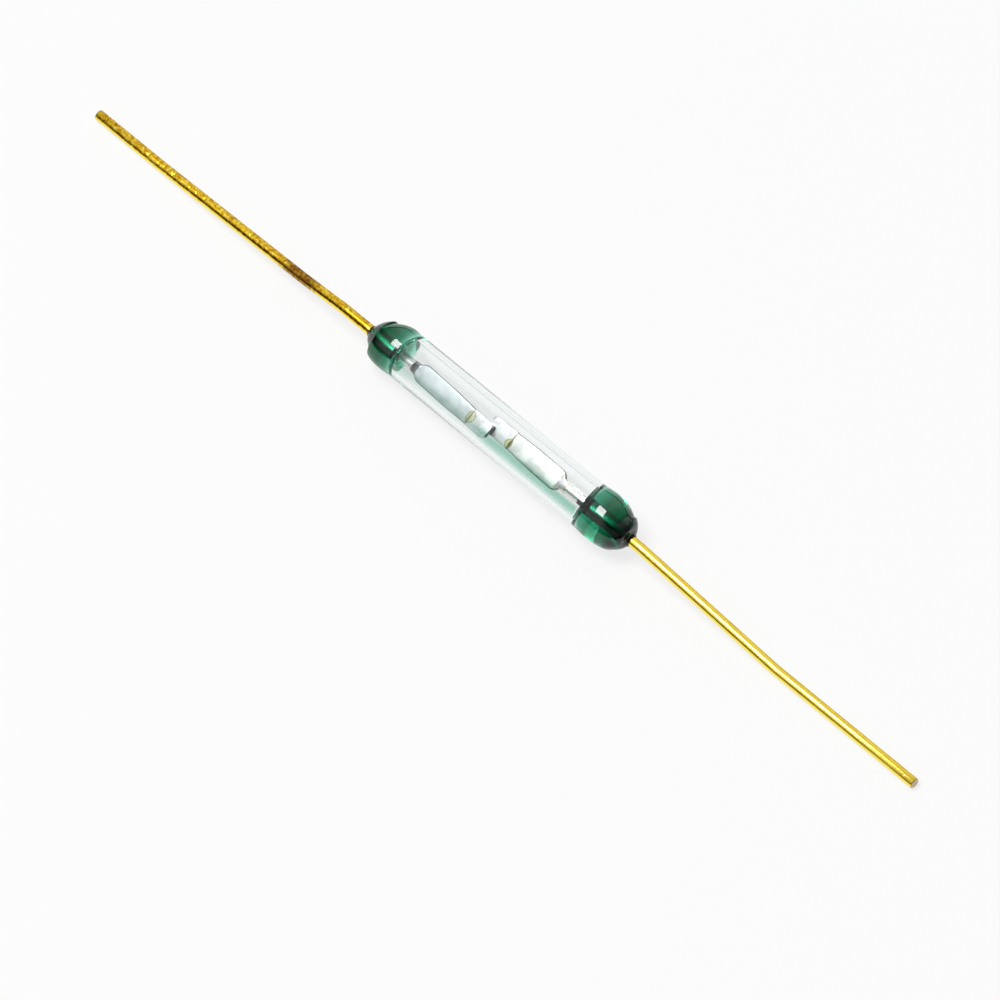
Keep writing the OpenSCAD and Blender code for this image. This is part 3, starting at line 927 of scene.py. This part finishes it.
def makePlating(side, material):
    length = reedWay(side).length
    grow, count = reedShape["platingThickness"], reedShape["platingSteps"]
    border = length - reedShape[side]["plating"]
    first, last = border + reedShape["platingEdge"][1], length - reedShape["tipCorner"]
    stations = [border, border + reedShape["platingEdge"][0], first]
    stations += [first + (last - first) * i / count for i in range(1, count + 1)]
    bm = bmesh.new()
    pressReed(bm, side, stations + tipStations(length), grow)
    overEnd = reedShape["overEnd"] * reedShape["tipCorner"]
    for v in bm.verts:  # the plating goes over the end too, and thins out at its border
        if v.co.x > length - overEnd:
            v.co.x += grow * min(1.0, (v.co.x - length + overEnd) / overEnd)
        if v.co.x < border + reedShape["borderReach"]:
            v.co.y *= reedShape["borderThinning"][0]
            v.co.z *= reedShape["borderThinning"][1]
    merge(bm)
    runs = [(v.co.x - border, v.co.y, v.co.z) for v in bm.verts]
    setReed(bm, side)
    obj = handIn(bm, side + "ContactPlating", side + "_reed", side + "_contact_plating",
                 material, reedShape["sharpAngle"])
    addVectors(obj, "bladeRun", runs)


for side in ("left", "right"):
    makeBlade(side, bladeMetal[side])
for side in ("left", "right"):
    makePlating(side, platingMetal[side])
print("reeds made")

# The camera stands where the photograph was taken from
cameraPlace = {
    "back": (0.38882, -0.39492, 0.83238),
    "right": (0.71259, 0.70158, 0.0),
    "up": (-0.58398, 0.59315, 0.55420),
    "distance": 0.8,
    "aimRight": -0.072,
    "aimUp": -2.547,
    "pixelsPerMm": 25.90,
    "clipStart": 0.01,
    "imageWidth": 1000,
    "sensorWidth": 36.0,
}

# Table, sky and lamp. A ramp of the sky is from and to, then its values there if not 0 and 1.
studio = {
    "tableColour": (0.16, 0.16, 0.16, 1.0),
    "tableRoughness": 0.9,
    "tableShine": 0.1,
    "tableGlow": 0.775,
    "tableSize": 2.4,
    "tableGap": 0.002,  # millimetres of air under the glass
    "skyRamp": (0.12, 0.5, 0.06, 0.85),  # by height
    "behindRamp": (0.3, 0.7),  # a bright wall behind the switch, and how it rises
    "behindRise": (0.11, 0.2),
    "rightRamp": (-0.15, 0.35, 1.0, 0.2),  # the room is darker towards both ends of the switch
    "leftRamp": (-0.95, -0.55, 0.35, 1.0),
    "photographerRamp": (0.93, 0.985, 1.0, 0.12),  # by nearness to the camera's direction
    "lampWay": (-0.21, -0.215, 0.955),
    "lampDistance": 0.5,
    "lampWidth": 0.145,
    "lampLength": 0.27,
    "lampPower": 2.0,
    "bounces": 40,  # the seals bounce light inside many times
    "glossyBounces": 8,
}


def makeTable():
    bm = bmesh.new()
    bmesh.ops.create_grid(bm, x_segments=2, y_segments=2, size=studio["tableSize"] / 2)
    bmesh.ops.translate(bm, vec=(0, 0, (tableZ - studio["tableGap"]) * mm), verts=bm.verts)
    mesh = bpy.data.meshes.new("tableTop")
    bm.to_mesh(mesh)
    bm.free()
    material, tree, shader = newMaterial("whiteTable")
    shader.inputs["Base Color"].default_value = studio["tableColour"]
    shader.inputs["Roughness"].default_value = studio["tableRoughness"]
    shader.inputs["Specular IOR Level"].default_value = studio["tableShine"]
    rays = addNode(tree, "ShaderNodeLightPath").outputs
    seen = calc(tree, "MAXIMUM", rays["Is Camera Ray"],
                calc(tree, "MAXIMUM", rays["Is Glossy Ray"], rays["Is Transmission Ray"]))
    shader.inputs["Emission Color"].default_value = white
    feed(tree, times(tree, seen, studio["tableGlow"]), shader.inputs["Emission Strength"])
    mesh.materials.append(material)
    table = bpy.data.objects.new("tableTop", mesh)
    scene.collection.objects.link(table)


def makeSky():  # soft white room with dark walls low down, and the photographer's dark shape above
    world = bpy.data.worlds.new("softRoom")
    world.use_nodes = True
    tree = world.node_tree
    way = addNode(tree, "ShaderNodeTexCoord").outputs["Generated"]
    x, y, z = splitUp(tree, way)
    over = ease(tree, z, *studio["skyRamp"])
    behind = times(tree, ease(tree, y, *studio["behindRamp"]), ease(tree, z, *studio["behindRise"]))
    strength = calc(tree, "MAXIMUM", over, behind)
    strength = times(tree, strength, ease(tree, x, *studio["rightRamp"]))
    strength = times(tree, strength, ease(tree, x, *studio["leftRamp"]))
    toCamera = addNode(tree, "ShaderNodeVectorMath", operation="DOT_PRODUCT")
    feed(tree, way, toCamera.inputs[0])
    toCamera.inputs[1].default_value = cameraPlace["back"]
    strength = times(tree, strength, ease(tree, toCamera.outputs["Value"], *studio["photographerRamp"]))
    background = tree.nodes["Background"]
    background.inputs["Color"].default_value = white
    feed(tree, strength, background.inputs["Strength"])
    scene.world = world


def makeLamp():
    lamp = bpy.data.lights.new("windowBox", "AREA")
    lamp.shape = "RECTANGLE"
    lamp.size = studio["lampWidth"]
    lamp.size_y = studio["lampLength"]
    lamp.energy = studio["lampPower"]
    obj = bpy.data.objects.new("windowBox", lamp)
    way = Vector(studio["lampWay"]).normalized()
    side = Vector((0, 1, 0)).cross(way).normalized()  # the narrow side lies along the switch
    turn = Matrix((side, way.cross(side), way)).transposed().to_4x4()
    obj.matrix_world = Matrix.Translation(way * studio["lampDistance"]) @ turn
    scene.collection.objects.link(obj)


def makeCamera():
    back, right, up = (Vector(cameraPlace[k]).normalized() for k in ("back", "right", "up"))
    camera = bpy.data.cameras.new("photoCamera")
    camera.sensor_width = cameraPlace["sensorWidth"]
    pixels = cameraPlace["pixelsPerMm"] * cameraPlace["distance"] * perMetre
    camera.lens = pixels * cameraPlace["sensorWidth"] / cameraPlace["imageWidth"]
    camera.clip_start = cameraPlace["clipStart"]
    obj = bpy.data.objects.new("photoCamera", camera)
    turn = Matrix((right, up, back)).transposed().to_4x4()
    aim = (right * cameraPlace["aimRight"] + up * cameraPlace["aimUp"]) * mm
    obj.matrix_world = Matrix.Translation(back * cameraPlace["distance"] + aim) @ turn
    scene.collection.objects.link(obj)
    scene.camera = obj


makeTable()
makeSky()
makeLamp()
makeCamera()
scene.view_settings.view_transform = "Standard"
scene.cycles.max_bounces = studio["bounces"]
scene.cycles.transmission_bounces = studio["bounces"]
scene.cycles.glossy_bounces = studio["glossyBounces"]
print("studio made")
